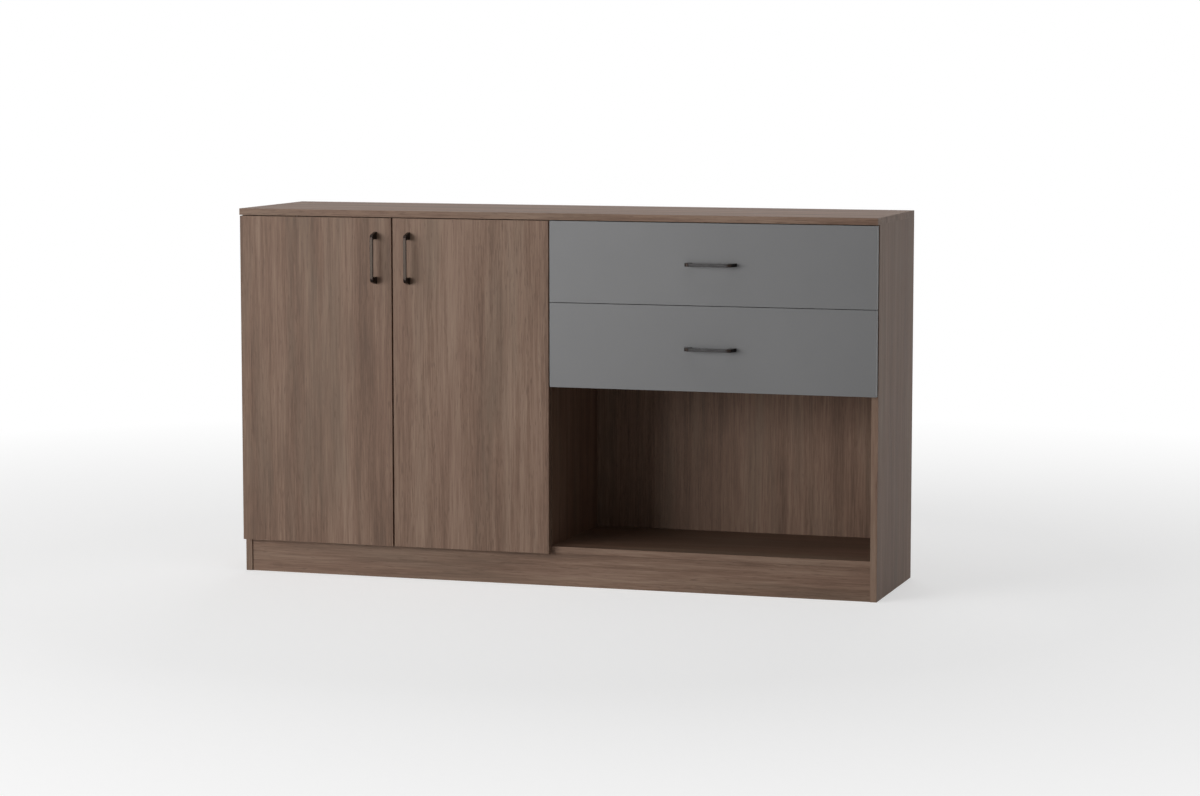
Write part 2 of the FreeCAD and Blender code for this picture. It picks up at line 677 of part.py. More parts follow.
for door, face, turn, panel in (("left", left_face, 1, "left_side_panel"),
                                ("right", divider_right, -1, "centre_divider")):
    inset_x = span(face, turn, "reveal + band", f"reveal + {door_width} - band")
    thickness = (front_face, front_back)
    door_board = f"{door}_door_panel"
    board(door_board, inset_x, thickness, (f"{door_low} + band", f"{fronts_top} - band"))
    keep(group(f"{door}_door_edge_bands", [
        block(f"{door}_door_outer_band", span(face, turn, "reveal", "reveal + band"), thickness,
              (door_low, fronts_top)),
        block(f"{door}_door_meeting_band",
              span(face, turn, f"reveal + {door_width} - band", f"reveal + {door_width}"), thickness,
              (door_low, fronts_top)),
        block(f"{door}_door_low_band", inset_x, thickness, (door_low, f"{door_low} + band")),
        block(f"{door}_door_high_band", inset_x, thickness, (f"{fronts_top} - band", fronts_top)),
    ]))

    cups = []
    pins = []
    cup_screws = []
    hinge_heights = {"low": f"{door_low} + hinge_inset", "high": f"{fronts_top} - hinge_inset"}
    for end, middle_z in hinge_heights.items():
        name = f"{door}_{end}_hinge"
        clamp_bore = add_plate(name, face, turn, middle_z, panel)
        pin, pin_bore = add_arm(name, face, turn, middle_z, clamp_bore)
        cup, screws = add_cup(name, face, turn, middle_z, pin_bore, door_board)
        pins.append(pin)
        cups.append(cup)
        cup_screws += screws
    keep(group(f"{door}_hinge_cups", cups))
    keep(group(f"{door}_hinge_pins", pins))
    keep(group(f"{door}_cup_screws", cup_screws))

    handle_x = plane_at(face, turn, f"reveal + {door_width} - door_handle_inset")
    handle_middle = (handle_x, front_face, f"{fronts_top} - door_handle_drop")
    tools_for[door_board] += make_handle(f"{door}_door_handle", f"{door}_door", handle_middle, True,
                                         front_back)
    keep(group(f"{door}_door_bumpers", [
        rod(f"{door}_bumper_{number}",
            (plane_at(face, turn, f"reveal + {door_width} - bumper_inset - {number} * bumper_pitch"),
             front_back, f"plinth_height + {half_board}"), back, "bumper_radius",
            "front_gap - bumper_play")
        for number in range(2)
    ]))

keep(group("hinge_plates", plates))
keep(group("hinge_arms", arms))
keep(group("hinge_plate_screws", plate_screws))
keep(group("hinge_clamp_screws", clamp_screws))

# ---- drawers and their slides ----

half_rail = "rail_height / 2"
middle_half = f"({half_rail} - rail_sheet - rail_play)"
drawer_half = f"({middle_half} - rail_sheet - rail_play)"
middle_end = "(middle_rail_start + middle_rail_depth)"
web_near = f"(middle_rail_start + (middle_rail_depth - rail_sheet) / 2)"
web_far = f"({web_near} + rail_sheet)"
drawer_flange = "(rail_space - drawer_rail_depth)"
drawer_web = "(rail_space - rail_sheet)"


def channel(web, open_side, web_inner, half):
    """Outline of a channel: its web between two distances, its flanges reaching to the open side."""
    inside = f"({half} - rail_sheet)"
    return [
        (web, f"-{half}"), (open_side, f"-{half}"), (open_side, f"-{inside}"), (web_inner, f"-{inside}"),
        (web_inner, inside), (open_side, inside), (open_side, half), (web, half),
    ]


middle_inside = f"({middle_half} - rail_sheet)"
rail_outlines = {
    "cabinet": channel("0", "cabinet_rail_depth", "rail_sheet", half_rail),
    "middle": [
        ("middle_rail_start", f"-{middle_half}"), (middle_end, f"-{middle_half}"),
        (middle_end, f"-{middle_inside}"), (web_far, f"-{middle_inside}"),
        (web_far, middle_inside), (middle_end, middle_inside),
        (middle_end, middle_half), ("middle_rail_start", middle_half),
        ("middle_rail_start", middle_inside), (web_near, middle_inside),
        (web_near, f"-{middle_inside}"), ("middle_rail_start", f"-{middle_inside}"),
    ],
    "drawer": channel("rail_space", drawer_flange, drawer_web, drawer_half),
}

front_heights = {"upper": (upper_front_low, fronts_top), "lower": (lower_front_low, lower_front_high)}
for drawer, (low, high) in front_heights.items():
    box_low = f"({low} + box_lift)"
    box_z = (box_low, f"{box_low} + box_height")
    box_x = (f"({divider_right} + rail_space)", f"({right_inner} - rail_space)")
    between_x = (f"{box_x[0]} + box_wall", f"{box_x[1]} - box_wall")
    box_rear = f"({front_back} + box_depth)"
    box_y = (front_back, box_rear)
    inner_front_rear = f"({front_back} + box_wall)"
    back_front = f"({box_rear} - box_wall)"
    front_label = f"{drawer}_drawer_front"
    box_boards = {
        f"{drawer}_drawer_left_side": ((box_x[0], between_x[0]), box_y),
        f"{drawer}_drawer_right_side": ((between_x[1], box_x[1]), box_y),
        f"{drawer}_drawer_inner_front": (between_x, (front_back, inner_front_rear)),
        f"{drawer}_drawer_back": (between_x, (back_front, box_rear)),
    }
    board(front_label, (f"{divider_right} + reveal", f"{right_face} - reveal"), (front_face, front_back),
          (low, high))
    base = block(f"{drawer}_drawer_bottom",
                 (f"{between_x[0]} - base_groove", f"{between_x[1]} + base_groove"),
                 (f"{inner_front_rear} - base_groove", f"{back_front} + base_groove"),
                 (f"{box_low} + base_lift", f"{box_low} + base_lift + base_thickness"))
    for label, (x, y) in box_boards.items():
        board(label, x, y, box_z)
        tools_for[label].append(base)
    middle_x = f"({divider_right} + {right_face}) / 2"
    bores = make_handle(f"{drawer}_drawer_handle", f"{drawer}_drawer",
                        (middle_x, front_face, f"({low} + {high}) / 2"), False, inner_front_rear)
    tools_for[front_label] += bores
    tools_for[f"{drawer}_drawer_inner_front"] += bores
    keep(base)

    rail_middle = (f"{edge} + rail_setback + rail_length / 2", f"{box_low} + rail_rise")
    for rail, outline in rail_outlines.items():
        pair = []
        for side, face, turn in (("left", divider_right, 1), ("right", right_inner, -1)):
            profile = [(f"{turn} * ({x})", z) for x, z in outline]
            one_rail = prism(f"{drawer}_{side}_{rail}_rail", "XZ_Plane", profile, "rail_length")
            pair.append(put(one_rail, (face, *rail_middle)))
        keep(group(f"{drawer}_{rail}_rails", pair))

for label in blanks:
    finish_board(label)

doc.recompute()

# ---- checks and files ----

for thing in doc.Objects:
    if "Invalid" in thing.State or "Error" in thing.State:
        raise RuntimeError(f"{thing.Label} failed: {thing.State}")
for piece in nodes:
    if piece.Shape.isNull() or not piece.Shape.isValid() or not piece.Shape.Solids:
        raise RuntimeError(f"{piece.Label} has no valid solid")

os.makedirs("parts", exist_ok=True)
for piece in nodes:
    piece.Shape.exportStep(os.path.join("parts", piece.Label + ".step"))
print(len(nodes), "pieces,", sum(len(piece.Shape.Solids) for piece in nodes), "solids")
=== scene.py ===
import math

import bpy
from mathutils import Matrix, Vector


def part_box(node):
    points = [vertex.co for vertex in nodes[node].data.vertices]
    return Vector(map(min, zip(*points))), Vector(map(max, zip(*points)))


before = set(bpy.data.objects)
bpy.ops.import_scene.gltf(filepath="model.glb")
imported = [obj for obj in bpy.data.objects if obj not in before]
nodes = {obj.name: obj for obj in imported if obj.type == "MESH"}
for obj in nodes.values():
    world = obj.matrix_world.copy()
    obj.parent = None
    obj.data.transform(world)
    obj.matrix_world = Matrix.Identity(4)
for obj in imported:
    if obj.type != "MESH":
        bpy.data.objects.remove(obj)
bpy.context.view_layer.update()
scene = bpy.context.scene
alongX, alongY, alongZ = 0, 1, 2
print("frame loaded:", len(nodes), "pieces")


# every pattern is laid in object space, in metres, so it stays on its board when a door or drawer moves
def newMaterial(name):
    material = bpy.data.materials.new(name)
    material.use_nodes = True
    tree = material.node_tree
    tree.nodes.clear()
    output = tree.nodes.new("ShaderNodeOutputMaterial")
    shader = tree.nodes.new("ShaderNodeBsdfPrincipled")
    tree.links.new(shader.outputs["BSDF"], output.inputs["Surface"])
    return material, tree, shader


def feed(tree, socket, value):
    if isinstance(value, bpy.types.NodeSocket):
        tree.links.new(value, socket)
    else:
        socket.default_value = value


def maths(tree, operation, first, second=0.0):
    node = tree.nodes.new("ShaderNodeMath")
    node.operation = operation
    feed(tree, node.inputs[0], first)
    feed(tree, node.inputs[1], second)
    return node.outputs[0]


def vectorMaths(tree, operation, first, second=(0.0, 0.0, 0.0)):
    node = tree.nodes.new("ShaderNodeVectorMath")
    node.operation = operation
    feed(tree, node.inputs[0], first)
    feed(tree, node.inputs[1], second)
    return node.outputs["Value" if operation in ("DOT_PRODUCT", "LENGTH") else "Vector"]


def weighted(tree, first, firstShare, second, secondShare):
    firstPart = maths(tree, "MULTIPLY", first, firstShare)
    return maths(tree, "ADD", firstPart, maths(tree, "MULTIPLY", second, secondShare))


def remap(tree, value, fromLow, fromHigh, toLow, toHigh):
    node = tree.nodes.new("ShaderNodeMapRange")
    feed(tree, node.inputs["Value"], value)
    node.inputs["From Min"].default_value = fromLow
    node.inputs["From Max"].default_value = fromHigh
    node.inputs["To Min"].default_value = toLow
    node.inputs["To Max"].default_value = toHigh
    return node.outputs["Result"]


def mixColours(tree, amount, first, second):
    node = tree.nodes.new("ShaderNodeMix")
    node.data_type = "RGBA"
    feed(tree, node.inputs[0], amount)
    feed(tree, node.inputs[6], first)
    feed(tree, node.inputs[7], second)
    return node.outputs[2]


def colourRamp(tree, value, stops):
    node = tree.nodes.new("ShaderNodeValToRGB")
    ramp = node.color_ramp
    while len(ramp.elements) < len(stops):
        ramp.elements.new(0.5)
    for element, (place, colour) in zip(ramp.elements, stops):
        element.position = place
        element.color = (*colour, 1.0)
    feed(tree, node.inputs["Fac"], value)
    return node.outputs["Color"]


noiseLow, noiseHigh = 0.3, 0.7  # nearly all of a noise lies between these


def noise(tree, vector, perMetre, detail=2.0, rough=0.5):
    node = tree.nodes.new("ShaderNodeTexNoise")
    feed(tree, node.inputs["Vector"], vector)
    node.inputs["Scale"].default_value = perMetre
    node.inputs["Detail"].default_value = detail
    node.inputs["Roughness"].default_value = rough
    return node.outputs["Fac"]


def flakes(tree, vector, perMetre):
    node = tree.nodes.new("ShaderNodeTexVoronoi")
    feed(tree, node.inputs["Vector"], vector)
    node.inputs["Scale"].default_value = perMetre
    return node.outputs["Distance"]


def coordinates(tree, kind="Object"):
    return tree.nodes.new("ShaderNodeTexCoord").outputs[kind]


def splitVector(tree, vector):
    node = tree.nodes.new("ShaderNodeSeparateXYZ")
    tree.links.new(vector, node.inputs[0])
    return node.outputs


def stretched(tree, point, axis, stretch):
    factors = [1.0, 1.0, 1.0]
    factors[axis] = 1.0 / stretch
    return vectorMaths(tree, "MULTIPLY", point, tuple(factors))


def towards(tree, axis):
    direction = [0.0, 0.0, 0.0]
    direction[axis] = 1.0
    facing = vectorMaths(tree, "DOT_PRODUCT", coordinates(tree, "Normal"), tuple(direction))
    return maths(tree, "ABSOLUTE", facing)


# the paler rims this edge mask draws are partly wear and partly a painted highlight along the rounded arris
softEdge = {"samples": 6, "flat": 1.0, "wornShiny": 0.72}  # worn: how far the normal turns at a fully worn edge


def wearAndSheenEdges(tree, radius):
    rounded = tree.nodes.new("ShaderNodeBevel")
    rounded.samples = softEdge["samples"]
    rounded.inputs["Radius"].default_value = radius
    sharp = tree.nodes.new("ShaderNodeNewGeometry").outputs["Normal"]
    together = vectorMaths(tree, "DOT_PRODUCT", rounded.outputs["Normal"], sharp)
    wearAndSheen = remap(tree, together, softEdge["flat"], softEdge["wornShiny"], 0.0, 1.0)
    return wearAndSheen, rounded.outputs["Normal"]


def bumped(tree, height, depth, strength, normal=None):
    node = tree.nodes.new("ShaderNodeBump")
    node.inputs["Distance"].default_value = depth
    node.inputs["Strength"].default_value = strength
    feed(tree, node.inputs["Height"], height)
    if normal is not None:
        feed(tree, node.inputs["Normal"], normal)
    return node.outputs["Normal"]


def dress(name, material):
    mesh = nodes[name].data
    mesh.materials.clear()
    mesh.materials.append(material)


cameraSetup = {
    "place": (2.42697, -7.48399, 1.27835),  # to the right of the middle and a little above the top
    "turn": 0.3052,  # radians to the left
    "tilt": 0.1063,  # radians down
    "lens": 96.938,
    "sensor": 36.0,
}

cameraData = bpy.data.cameras.new("camera")
cameraData.lens = cameraSetup["lens"]
cameraData.sensor_width = cameraSetup["sensor"]
camera = bpy.data.objects.new("camera", cameraData)
camera.location = cameraSetup["place"]
camera.rotation_euler = (math.pi / 2 - cameraSetup["tilt"], 0.0, cameraSetup["turn"])
scene.collection.objects.link(camera)
scene.camera = camera
print("camera set")


studioFloor = {
    "size": 80.0,
    "pale": (0.56, 0.56, 0.56),
    "speck": (0.52, 0.52, 0.52),
    "specksPerMetre": 40.0,
    "roughness": 0.85,
    "glow": 0.55,  # only for the camera and for reflections, so it lights nothing
    "fadeStart": 1.4,  # metres from the middle where the floor begins to turn white
    "fadeEnd": 3.6,
}
studioSky = {"seen": (1.0, 1.0, 1.0), "soft": (0.95, 0.97, 1.0), "softStrength": 0.02}
studioLamps = {
    "keyLamp": {"place": (-3.5, -4.7, 1.35), "aim": (0.0, 0.0, 0.45), "size": (3.6, 2.3), "power": 192.0,
                "shine": True},
    "sideLamp": {"place": (4.2, 0.9, 1.5), "aim": (0.8, 0.1, 0.45), "size": (2.0, 2.0), "power": 6.0,
                 "shine": True},
    "topLamp": {"place": (-0.2, -0.9, 3.6), "aim": (0.0, 0.1, 0.9), "size": (3.2, 1.8), "power": 25.0,
                "shine": True},
    "backLamp": {"place": (-0.6, 4.4, 3.2), "aim": (0.0, 0.2, 0.4), "size": (2.8, 1.6), "power": 60.0,
                 "shine": False},
}


def mixShaders(tree, amount, first, second):
    node = tree.nodes.new("ShaderNodeMixShader")
    feed(tree, node.inputs["Fac"], amount)
    tree.links.new(first, node.inputs[1])
    tree.links.new(second, node.inputs[2])
    return node.outputs["Shader"]


# 1 where the floor or the sky is seen straight on, in a reflection or through something clear
def plainlySeen(tree):
    path = tree.nodes.new("ShaderNodeLightPath")
    seen = maths(tree, "MAXIMUM", path.outputs["Is Camera Ray"], path.outputs["Is Glossy Ray"])
    return maths(tree, "MAXIMUM", seen, path.outputs["Is Transmission Ray"])


def glowing(tree, strength):
    glow = tree.nodes.new("ShaderNodeEmission")
    glow.inputs["Strength"].default_value = strength
    return glow.outputs["Emission"]


def makeFloor():
    half = studioFloor["size"] / 2
    mesh = bpy.data.meshes.new("studioFloor")
    corners = [(-half, -half, 0), (half, -half, 0), (half, half, 0), (-half, half, 0)]
    mesh.from_pydata(corners, [], [(0, 1, 2, 3)])
    floor = bpy.data.objects.new("studioFloor", mesh)
    scene.collection.objects.link(floor)
    material, tree, shader = newMaterial("studioFloor")
    point = coordinates(tree)
    specks = noise(tree, point, studioFloor["specksPerMetre"], 4.0)
    shade = colourRamp(tree, specks, [(noiseLow, studioFloor["speck"]), (noiseHigh, studioFloor["pale"])])
    feed(tree, shader.inputs["Base Color"], shade)
    shader.inputs["Roughness"].default_value = studioFloor["roughness"]
    lifted = tree.nodes.new("ShaderNodeAddShader")
    tree.links.new(shader.outputs["BSDF"], lifted.inputs[0])
    tree.links.new(glowing(tree, studioFloor["glow"]), lifted.inputs[1])
    reach = vectorMaths(tree, "LENGTH", point)
    fade = remap(tree, reach, studioFloor["fadeStart"], studioFloor["fadeEnd"], 0.0, 1.0)
    seenFloor = mixShaders(tree, fade, lifted.outputs["Shader"], glowing(tree, 1.0))
    floorShader = mixShaders(tree, plainlySeen(tree), shader.outputs["BSDF"], seenFloor)
    tree.links.new(floorShader, tree.nodes["Material Output"].inputs["Surface"])
    mesh.materials.append(material)


def skyLight(tree, colour, strength):
    background = tree.nodes.new("ShaderNodeBackground")
    background.inputs["Color"].default_value = (*colour, 1.0)
    background.inputs["Strength"].default_value = strength
    return background.outputs["Background"]


def makeSky():
    world = bpy.data.worlds.new("studioSky")
    scene.world = world
    world.use_nodes = True
    tree = world.node_tree
    tree.nodes.clear()
    output = tree.nodes.new("ShaderNodeOutputWorld")
    soft = skyLight(tree, studioSky["soft"], studioSky["softStrength"])
    seen = skyLight(tree, studioSky["seen"], 1.0)
    tree.links.new(mixShaders(tree, plainlySeen(tree), soft, seen), output.inputs["Surface"])


def makeLamp(name, lamp):
    data = bpy.data.lights.new(name, "AREA")
    data.shape = "RECTANGLE"
    data.size, data.size_y = lamp["size"]
    data.energy = lamp["power"]
    lampObject = bpy.data.objects.new(name, data)
    lampObject.location = lamp["place"]
    aim = Vector(lamp["aim"]) - Vector(lamp["place"])
    lampObject.rotation_euler = aim.to_track_quat("-Z", "Y").to_euler()
    lampObject.visible_camera = False
    lampObject.visible_glossy = lamp["shine"]
    scene.collection.objects.link(lampObject)


makeFloor()
makeSky()
for lampName, lamp in studioLamps.items():
    makeLamp(lampName, lamp)
scene.view_settings.view_transform = "Standard"
print("floor, sky and lamps set")


woodGrain = {
    "tones": [(0.378, (0.114, 0.065, 0.042)), (0.5, (0.216, 0.130, 0.088)), (0.622, (0.322, 0.217, 0.156))],
    "wander": {"perMetre": 3.0, "stretch": 5.0, "reach": 0.016},  # how far the grain strays from straight
    "layers": {
        "drift": {"perMetre": 11.0, "stretch": 7.0, "share": 0.12, "detail": 1.0, "rough": 0.5},
        "bands": {"perMetre": 27.0, "stretch": 30.0, "share": 0.33, "detail": 3.0, "rough": 0.6},
        "streaks": {"perMetre": 95.0, "stretch": 26.0, "share": 0.27, "detail": 4.0, "rough": 0.62},
        "lines": {"perMetre": 340.0, "stretch": 26.0, "share": 0.28, "detail": 3.0, "rough": 0.6},
    },
    "hue": {"perMetre": 19.0, "stretch": 9.0, "shift": (7.0, 7.0, 7.0)},
    "greyCast": {"colour": (0.186, 0.139, 0.099), "from": 0.50, "to": 0.70, "most": 0.35},
    "redCast": {"colour": (0.243, 0.140, 0.100), "from": 0.46, "to": 0.30, "most": 0.2},
    "pores": {"perMetre": 420.0, "stretch": 12.0, "crowding": 0.5, "from": 0.60, "to": 0.72, "shade": 0.5},
    "roughness": (0.51, 0.63),
    "specular": 0.28,
    "relief": {"depth": 0.00012, "strength": 0.6, "lines": 0.6},
    # the paler rim at the edges of the wood boards and bands is a painted highlight along the arris, partly
    # wear
    "edge": {"radius": 0.0007, "wearAndSheen": 0.25},
}


def castOver(tree, colour, hue, cast):
    amount = remap(tree, hue, cast["from"], cast["to"], 0.0, cast["most"])
    return mixColours(tree, amount, colour, (*cast["colour"], 1.0))


def woodColour(tree, point, axis, lift):
    wander = woodGrain["wander"]
    bend = noise(tree, stretched(tree, point, axis, wander["stretch"]), wander["perMetre"])
    bend = maths(tree, "MULTIPLY", maths(tree, "SUBTRACT", bend, 0.5), wander["reach"])
    point = vectorMaths(tree, "ADD", point, bend)
    layers = {}
    tone = lift
    for layerName, layer in woodGrain["layers"].items():
        along = stretched(tree, point, axis, layer["stretch"])
        layers[layerName] = noise(tree, along, layer["perMetre"], layer["detail"], layer["rough"])
        tone = maths(tree, "ADD", maths(tree, "MULTIPLY", layers[layerName], layer["share"]), tone)
    colour = colourRamp(tree, tone, woodGrain["tones"])
    hueSetup = woodGrain["hue"]
    huePoint = vectorMaths(tree, "ADD", point, hueSetup["shift"])
    hue = noise(tree, stretched(tree, huePoint, axis, hueSetup["stretch"]), hueSetup["perMetre"])
    colour = castOver(tree, colour, hue, woodGrain["greyCast"])
    colour = castOver(tree, colour, hue, woodGrain["redCast"])
    poreSetup = woodGrain["pores"]
    pores = noise(tree, stretched(tree, point, axis, poreSetup["stretch"]), poreSetup["perMetre"], 1.0)
    crowding = maths(tree, "SUBTRACT", 0.5, layers["bands"])  # open pores crowd in the dark bands
    pores = maths(tree, "ADD", pores, maths(tree, "MULTIPLY", crowding, poreSetup["crowding"]))
    pores = remap(tree, pores, poreSetup["from"], poreSetup["to"], 0.0, 1.0)
    darkest = (*woodGrain["tones"][0][1], 1.0)
    colour = mixColours(tree, maths(tree, "MULTIPLY", pores, poreSetup["shade"]), colour, darkest)
    return colour, layers["lines"], pores


chipboard = {
    "tones": [(0.2, (0.26, 0.17, 0.10)), (0.85, (0.60, 0.46, 0.31))],
    "flakesPerMetre": 420.0,
    "pressed": (1.0, 1.0, 1.6),  # flakes lie flat
    "gritPerMetre": 900.0,
    "gritShare": 0.4,
    "facing": (0.4, 0.6),  # where a bare edge turns into the laminated face
}


def chipboardColour(tree, point):
    pressed = vectorMaths(tree, "MULTIPLY", point, chipboard["pressed"])
    chips = flakes(tree, pressed, chipboard["flakesPerMetre"])
    grit = noise(tree, point, chipboard["gritPerMetre"])
    tone = weighted(tree, chips, 1.0, grit, chipboard["gritShare"])
    return colourRamp(tree, tone, chipboard["tones"])


def makeWood(name, board):
    material, tree, shader = newMaterial("wood_" + name)
    point = vectorMaths(tree, "ADD", coordinates(tree), board["shift"])
    if board.get("crossed"):
        point = crossedGrain(tree, point)
    colour, lines, pores = woodColour(tree, point, board["grain"], board.get("lift", 0.0))
    wearAndSheen, rounded = wearAndSheenEdges(tree, woodGrain["edge"]["radius"])
    palest = (*woodGrain["tones"][-1][1], 1.0)
    colour = mixColours(tree, maths(tree, "MULTIPLY", wearAndSheen, woodGrain["edge"]["wearAndSheen"]), colour, palest)
    if "face" in board:
        bareEdge = remap(tree, towards(tree, board["face"]), *chipboard["facing"], 1.0, 0.0)
        colour = mixColours(tree, bareEdge, colour, chipboardColour(tree, point))
    feed(tree, shader.inputs["Base Color"], colour)
    rough = remap(tree, lines, noiseLow, noiseHigh, *woodGrain["roughness"])
    feed(tree, shader.inputs["Roughness"], rough)
    shader.inputs["Specular IOR Level"].default_value = woodGrain["specular"]
    relief = woodGrain["relief"]
    height = maths(tree, "SUBTRACT", maths(tree, "MULTIPLY", lines, relief["lines"]), pores)
    feed(tree, shader.inputs["Normal"], bumped(tree, height, relief["depth"], relief["strength"], rounded))
    return material


# grain: which way it runs. face: which way the laminated faces look, on boards with bare chipboard edges.
# shift: moves to another stretch of the pattern. lift: paler or darker than the rest.
woodBoards = {
    "top_panel": {"grain": alongX, "face": alongZ, "shift": (3.1, 0.4, 7.7), "lift": -0.03},
    "left_side_panel": {"grain": alongZ, "face": alongX, "shift": (5.3, 2.2, 1.9)},
    "right_side_panel": {"grain": alongZ, "face": alongX, "shift": (8.1, 6.4, 3.3)},
    "centre_divider": {"grain": alongZ, "face": alongX, "shift": (1.7, 9.5, 4.1)},
    # the bottom panel's darker lift is painted shade of the open bay beneath the drawers
    "bottom_panel": {"grain": alongX, "face": alongZ, "shift": (2.9, 5.8, 6.6), "lift": -0.14},
    "back_panel": {"grain": alongZ, "face": alongY, "shift": (4.4, 3.7, 8.2), "lift": -0.022},
    "front_plinth": {"grain": alongX, "face": alongY, "shift": (7.2, 1.1, 2.5)},
    "rear_plinth_rail": {"grain": alongX, "face": alongY, "shift": (6.1, 4.9, 5.4)},
    "drawer_deck": {"grain": alongX, "face": alongZ, "shift": (9.4, 7.3, 1.2)},
    "cabinet_shelf": {"grain": alongX, "shift": (0.8, 8.6, 9.1)},
    "left_door_panel": {"grain": alongZ, "face": alongY, "shift": (2.1, 6.9, 0.7)},
    "right_door_panel": {"grain": alongZ, "face": alongY, "shift": (6.6, 0.9, 5.2), "lift": 0.03},
}
edgeBands = {
    "top_edge_bands": {"grain": alongX, "shift": (1.3, 2.4, 3.5), "lift": 0.03},
    "left_door_edge_bands": {"grain": alongZ, "shift": (4.6, 5.7, 6.8)},
    "right_door_edge_bands": {"grain": alongZ, "shift": (4.6, 5.7, 6.8)},
    "carcass_edge_bands": {"grain": alongZ, "shift": (4.6, 5.7, 6.8), "crossed": True},
}
levelOverlap = 0.0001  # how far the grain of the level bands runs over the upright ones


# the carcass bands are one piece: their grain runs up the sides and the divider, and along the level boards
def crossedGrain(tree, point):
    dividerLow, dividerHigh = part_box("centre_divider")
    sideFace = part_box("right_side_panel")[0][0]
    dividerMiddle = (dividerLow[0] + dividerHigh[0]) / 2
    dividerHalf = (dividerHigh[0] - dividerLow[0]) / 2
    across = splitVector(tree, coordinates(tree))[0]
    fromDivider = maths(tree, "ABSOLUTE", maths(tree, "SUBTRACT", across, dividerMiddle))
    offDivider = maths(tree, "GREATER_THAN", fromDivider, dividerHalf - levelOverlap)
    offSides = maths(tree, "LESS_THAN", maths(tree, "ABSOLUTE", across), sideFace + levelOverlap)
    parts = splitVector(tree, point)
    swapped = tree.nodes.new("ShaderNodeCombineXYZ")
    for place, part in enumerate((parts[2], parts[1], parts[0])):
        tree.links.new(part, swapped.inputs[place])
    choice = tree.nodes.new("ShaderNodeMix")
    choice.data_type = "VECTOR"
    tree.links.new(maths(tree, "MULTIPLY", offDivider, offSides), choice.inputs[0])
    tree.links.new(point, choice.inputs[4])
    tree.links.new(swapped.outputs[0], choice.inputs[5])
    return choice.outputs[1]


for boardName, board in {**woodBoards, **edgeBands}.items():
    dress(boardName, makeWood(boardName, board))
print("wood boards and edge bands dressed")


greyFront = {
    "low": (0.180, 0.180, 0.183), "high": (0.208, 0.208, 0.210), "roughness": (0.36, 0.45),
    "pieces": ["upper_drawer_front", "lower_drawer_front"],
}
paleBoard = {
    "low": (0.56, 0.55, 0.53), "high": (0.66, 0.65, 0.63), "roughness": (0.41, 0.50),
    "pieces": [f"{drawer}_drawer_{part}" for drawer in ("upper", "lower")
               for part in ("left_side", "right_side", "inner_front", "back", "bottom")],
}
plainLaminate = {
    "cloudsPerMetre": 3.0, "cloudShare": 0.65,
    "specksPerMetre": 900.0, "speckShare": 0.35,
    # on the laminate the paler edge rims are a painted highlight along the arris, partly wear
    "edgeRadius": 0.0008, "wearAndSheen": 0.4, "wornShinyPaler": 1.35,
    "depth": 0.00005, "strength": 0.5,
}


def paler(colour, factor):
    return (*(min(1.0, part * factor) for part in colour), 1.0)


def makePlain(name, finish):
    material, tree, shader = newMaterial(name)
    point = coordinates(tree)
    clouds = noise(tree, point, plainLaminate["cloudsPerMetre"], 3.0)
    specks = noise(tree, point, plainLaminate["specksPerMetre"])
    tone = weighted(tree, clouds, plainLaminate["cloudShare"], specks, plainLaminate["speckShare"])
    colour = colourRamp(tree, tone, [(noiseLow, finish["low"]), (noiseHigh, finish["high"])])
    wearAndSheen, rounded = wearAndSheenEdges(tree, plainLaminate["edgeRadius"])
    wornShiny = paler(finish["high"], plainLaminate["wornShinyPaler"])
    colour = mixColours(tree, maths(tree, "MULTIPLY", wearAndSheen, plainLaminate["wearAndSheen"]), colour, wornShiny)
    feed(tree, shader.inputs["Base Color"], colour)
    rough = remap(tree, specks, noiseLow, noiseHigh, *finish["roughness"])
    feed(tree, shader.inputs["Roughness"], rough)
    relief = bumped(tree, specks, plainLaminate["depth"], plainLaminate["strength"], rounded)
    feed(tree, shader.inputs["Normal"], relief)
    for pieceName in finish["pieces"]:
        dress(pieceName, material)


makePlain("greyFront", greyFront)
makePlain("paleBoard", paleBoard)
print("drawer fronts and boxes dressed")


hingeNickel = {
    "low": (0.42, 0.41, 0.39), "high": (0.58, 0.57, 0.55), "roughness": (0.24, 0.38),
    "scratchesPerMetre": 1040.0,
    "pieces": ["hinge_plates", "hinge_arms", "left_hinge_cups", "right_hinge_cups",
               "left_hinge_pins", "right_hinge_pins", "shelf_pins"],
}
slideZinc = {
    "low": (0.40, 0.42, 0.44), "high": (0.56, 0.58, 0.60), "roughness": (0.30, 0.44),
    "scratchesPerMetre": 360.0,
    "pieces": [f"{drawer}_{part}_rails" for drawer in ("upper", "lower")
               for part in ("cabinet", "middle", "drawer")],
}
screwSteel = {
    "low": (0.38, 0.38, 0.37), "high": (0.55, 0.55, 0.53), "roughness": (0.28, 0.42),
    "scratchesPerMetre": 2000.0,
    "pieces": ["cam_bolts", "back_panel_screws", "hinge_plate_screws", "hinge_clamp_screws",
               "left_cup_screws", "right_cup_screws", "left_door_handle_screws", "right_door_handle_screws",
               "upper_drawer_handle_screws", "lower_drawer_handle_screws"],
}
camZinc = {
    "low": (0.46, 0.46, 0.47), "high": (0.62, 0.62, 0.63), "roughness": (0.44, 0.58),
    "scratchesPerMetre": 2800.0,
    "pieces": ["cam_housings"],
}
bareMetal = {
    "cloudsPerMetre": 60.0, "scratchStretch": 30.0,
    "edgeRadius": 0.0004, "wearAndSheen": 0.5, "wornShinyPaler": 1.25,
    "depth": 0.00003, "strength": 0.5,
}


